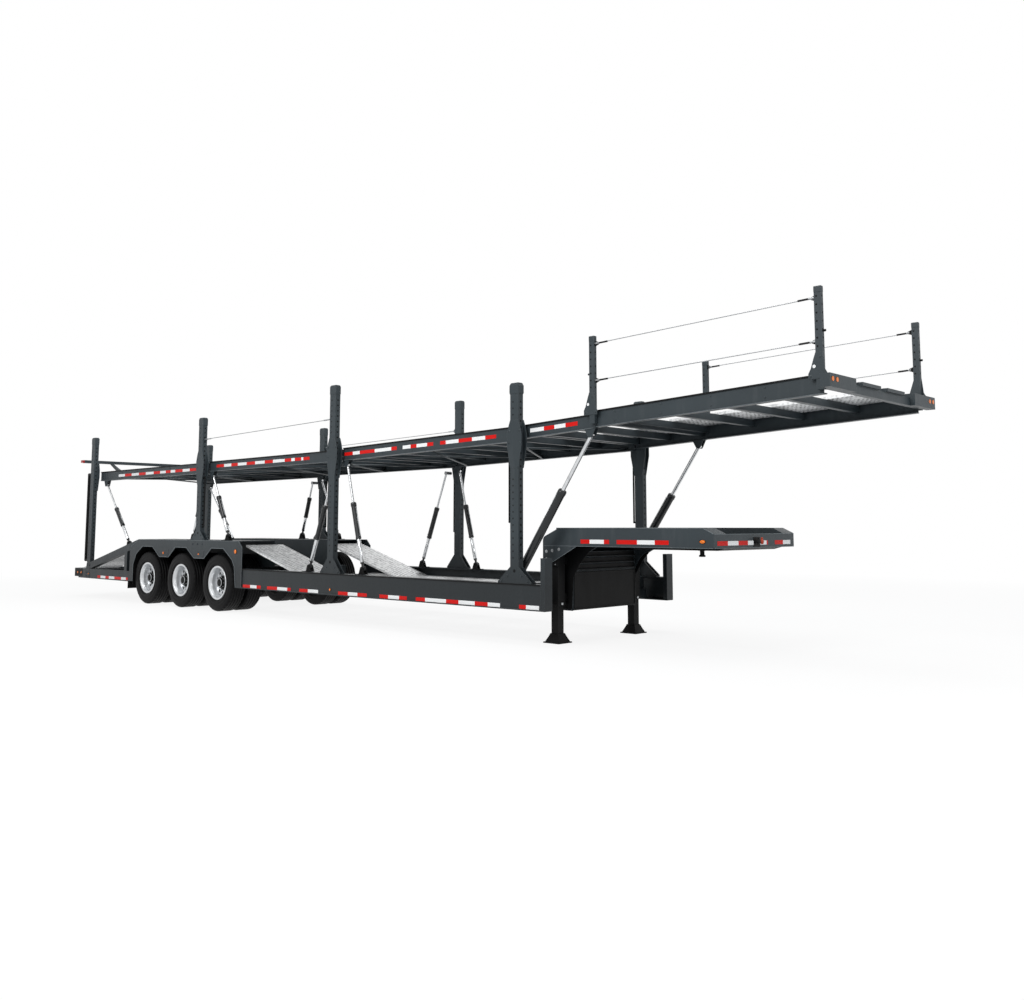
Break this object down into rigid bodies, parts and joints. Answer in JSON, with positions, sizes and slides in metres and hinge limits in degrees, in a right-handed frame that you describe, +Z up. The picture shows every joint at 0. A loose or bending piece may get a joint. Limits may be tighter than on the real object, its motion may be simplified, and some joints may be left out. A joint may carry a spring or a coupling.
{
  "type": "car hauler trailer",
  "caption": "Gooseneck car hauler trailer with a dropped low deck, wheel arch boxes, masts and tilting upper beds on hydraulic cylinders, standing on its landing legs.",
  "frame": {"origin": "on the ground under the middle of the whole trailer", "axes": "+X to the front (the gooseneck and kingpin), +Y to the left side, +Z up"},
  "size_m": [15.54, 2.524, 3.545],
  "materials": {
    "amber_lamp": "gloss",
    "black_paint": "satin",
    "black_rubber": "matte",
    "bright_plate": "satin",
    "chrome_rod": "polished",
    "dark_paint": "satin",
    "red_lamp": "gloss",
    "rim": "satin",
    "steel_wire": "satin",
    "tyre": "matte"
  },
  "bodies": {
    "chassis": {"arch_panels": "dark_paint", "axles": "black_paint", "clevises": "black_paint", "cross_members": "dark_paint", "gooseneck": "dark_paint", "hydraulic_pipes": "black_paint", "inner_rails": "dark_paint", "kingpin_plate": "black_paint", "landing_legs": "black_paint", "leaf_springs": "black_paint", "low_deck_tracks": "bright_plate", "mud_flaps": "black_rubber", "posts": "dark_paint", "prop_barrels": "black_paint", "prop_rods": "chrome_rod", "ramp_tracks": "bright_plate", "rear_frame": "dark_paint", "side_beams": "dark_paint", "side_lamps": "amber_lamp", "side_wires": "steel_wire", "spring_hangers": "black_paint", "tail_lamps": "red_lamp"},
    "wheels_front_right": {"rims_front_right": "rim", "tyres_front_right": "tyre"},
    "wheels_front_left": {"rims_front_left": "rim", "tyres_front_left": "tyre"},
    "wheels_middle_right": {"rims_middle_right": "rim", "tyres_middle_right": "tyre"},
    "wheels_middle_left": {"rims_middle_left": "rim", "tyres_middle_left": "tyre"},
    "wheels_rear_right": {"rims_rear_right": "rim", "tyres_rear_right": "tyre"},
    "wheels_rear_left": {"rims_rear_left": "rim", "tyres_rear_left": "tyre"},
    "bed_rear": {"rear_bed": "dark_paint", "rear_bed_members": "dark_paint", "rear_bed_tracks": "bright_plate", "tail_bar_lamps": "red_lamp"},
    "bed_middle": {"middle_bed": "dark_paint", "middle_bed_members": "dark_paint", "middle_bed_tracks": "bright_plate"},
    "bed_fore": {"fore_bed": "dark_paint", "fore_bed_members": "dark_paint", "fore_bed_tracks": "bright_plate"},
    "bed_nose": {"nose_bed": "dark_paint", "nose_bed_members": "dark_paint", "nose_bed_tracks": "bright_plate", "nose_lamps": "amber_lamp", "nose_wires": "steel_wire", "rail_posts": "dark_paint"},
    "barrels_rear": {"rear_lift_barrels": "black_paint"},
    "rods_rear": {"rear_lift_rods": "chrome_rod"},
    "barrels_middle": {"middle_lift_barrels": "black_paint"},
    "rods_middle": {"middle_lift_rods": "chrome_rod"},
    "barrels_fore": {"fore_lift_barrels": "black_paint"},
    "rods_fore": {"fore_lift_rods": "chrome_rod"},
    "barrels_nose": {"nose_lift_barrels": "black_paint"},
    "rods_nose": {"nose_lift_rods": "chrome_rod"}
  },
  "joints": [
    {"name": "axle_front_right", "type": "hinge", "parent": "chassis", "child": "wheels_front_right", "pos_m": [-2.61, -0.94, 0.4475], "axis": [0, 1, 0], "continuous": true},
    {"name": "axle_front_left", "type": "hinge", "parent": "chassis", "child": "wheels_front_left", "pos_m": [-2.61, 0.94, 0.4475], "axis": [0, 1, 0], "continuous": true},
    {"name": "axle_middle_right", "type": "hinge", "parent": "chassis", "child": "wheels_middle_right", "pos_m": [-3.765, -0.94, 0.4475], "axis": [0, 1, 0], "continuous": true},
    {"name": "axle_middle_left", "type": "hinge", "parent": "chassis", "child": "wheels_middle_left", "pos_m": [-3.765, 0.94, 0.4475], "axis": [0, 1, 0], "continuous": true},
    {"name": "axle_rear_right", "type": "hinge", "parent": "chassis", "child": "wheels_rear_right", "pos_m": [-4.92, -0.94, 0.4475], "axis": [0, 1, 0], "continuous": true},
    {"name": "axle_rear_left", "type": "hinge", "parent": "chassis", "child": "wheels_rear_left", "pos_m": [-4.92, 0.94, 0.4475], "axis": [0, 1, 0], "continuous": true},
    {"name": "tilt_rear", "type": "hinge", "parent": "chassis", "child": "bed_rear", "pos_m": [-3.18, 0, 2.29985], "axis": [0, 1, 0], "range_deg": [-12, 0]},
    {"name": "tilt_middle", "type": "hinge", "parent": "chassis", "child": "bed_middle", "pos_m": [0.4, 0, 2.33032], "axis": [0, 1, 0], "range_deg": [-4, 4]},
    {"name": "tilt_fore", "type": "hinge", "parent": "chassis", "child": "bed_fore", "pos_m": [3.852, 0, 2.42244], "axis": [0, 1, 0], "range_deg": [-6, 3]},
    {"name": "tilt_nose", "type": "hinge", "parent": "chassis", "child": "bed_nose", "pos_m": [3.932, 0, 2.43818], "axis": [0, 1, 0], "range_deg": [-6, 10]},
    {"name": "swing_rear", "type": "hinge", "parent": "chassis", "child": "barrels_rear", "pos_m": [-5.9, 0, 1.04], "axis": [0, 1, 0], "range_deg": [-25.71, 0]},
    {"name": "stroke_rear", "type": "slide", "parent": "barrels_rear", "child": "rods_rear", "axis": [-0.6703, 0, 0.7421], "range_m": [-0.55929, 0.0005]},
    {"name": "swing_middle", "type": "hinge", "parent": "chassis", "child": "barrels_middle", "pos_m": [-2.52, 0, 1.185], "axis": [0, 1, 0], "range_deg": [-5.29, 5.29]},
    {"name": "stroke_middle", "type": "slide", "parent": "barrels_middle", "child": "rods_middle", "axis": [-0.4687, 0, 0.8833], "range_m": [-0.21703, 0.21703]},
    {"name": "swing_fore", "type": "hinge", "parent": "chassis", "child": "barrels_fore", "pos_m": [0.92, 0, 0.763], "axis": [0, 1, 0], "range_deg": [-2.51, 1.26]},
    {"name": "stroke_fore", "type": "slide", "parent": "barrels_fore", "child": "rods_fore", "axis": [-0.2557, 0, 0.9668], "range_m": [-0.34393, 0.17222]},
    {"name": "swing_nose", "type": "hinge", "parent": "chassis", "child": "barrels_nose", "pos_m": [3.8, 0, 0.763], "axis": [0, 1, 0], "range_deg": [-1.42, 2.37]},
    {"name": "stroke_nose", "type": "slide", "parent": "barrels_nose", "child": "rods_nose", "axis": [0.5709, 0, 0.821], "range_m": [-0.14978, 0.09007]}
  ],
  "couplings": [
    {"joint": "swing_rear", "follows": "tilt_rear", "ratio": 2.1383},
    {"joint": "stroke_rear", "follows": "tilt_rear", "m_per_rad": 2.6627},
    {"joint": "swing_middle", "follows": "tilt_middle", "ratio": 1.3199},
    {"joint": "stroke_middle", "follows": "tilt_middle", "m_per_rad": 3.0953},
    {"joint": "swing_fore", "follows": "tilt_fore", "ratio": 0.41755},
    {"joint": "stroke_fore", "follows": "tilt_fore", "m_per_rad": 3.273},
    {"joint": "swing_nose", "follows": "tilt_nose", "ratio": 0.23623},
    {"joint": "stroke_nose", "follows": "tilt_nose", "m_per_rad": -0.85358}
  ]
}
